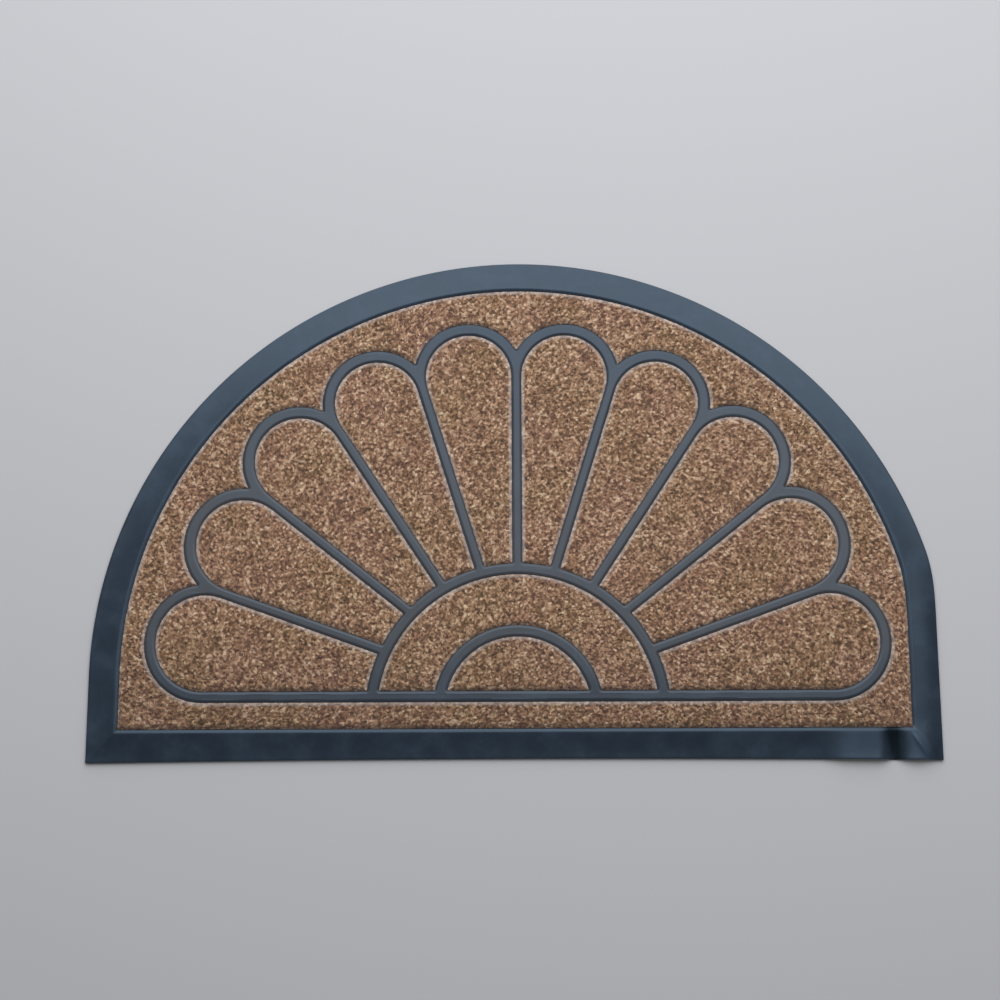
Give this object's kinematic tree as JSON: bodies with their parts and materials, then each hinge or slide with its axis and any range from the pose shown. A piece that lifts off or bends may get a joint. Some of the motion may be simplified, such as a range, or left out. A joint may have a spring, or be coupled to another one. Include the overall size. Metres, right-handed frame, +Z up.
{
  "type": "half-moon doormat",
  "caption": "Half-round doormat: a moulded rubber base with a bevelled border and raised fan ribs, with a needle-punched carpet inlay in each field.",
  "frame": {"origin": "middle of the bounding box at floor level", "axes": "+X along the straight front edge to the right, +Y from the front edge to the crown of the arc, +Z up"},
  "size_m": [0.74, 0.45, 0.0076],
  "materials": {
    "moulded_rubber": "matt moulded rubber, dark blue-grey, lightly weathered",
    "needle_punched_carpet": "needle-punched polypropylene pile, brown flecked with tan and dark brown"
  },
  "bodies": {
    "root": {"rubber_base": "moulded_rubber", "carpet_outer": "needle_punched_carpet", "carpet_band": "needle_punched_carpet", "carpet_sun": "needle_punched_carpet", "carpet_petal_first_left": "needle_punched_carpet", "carpet_petal_first_right": "needle_punched_carpet", "carpet_petal_second_left": "needle_punched_carpet", "carpet_petal_second_right": "needle_punched_carpet", "carpet_petal_third_left": "needle_punched_carpet", "carpet_petal_third_right": "needle_punched_carpet", "carpet_petal_fourth_left": "needle_punched_carpet", "carpet_petal_fourth_right": "needle_punched_carpet", "carpet_petal_end_left": "needle_punched_carpet", "carpet_petal_end_right": "needle_punched_carpet"}
  },
  "joints": []
}
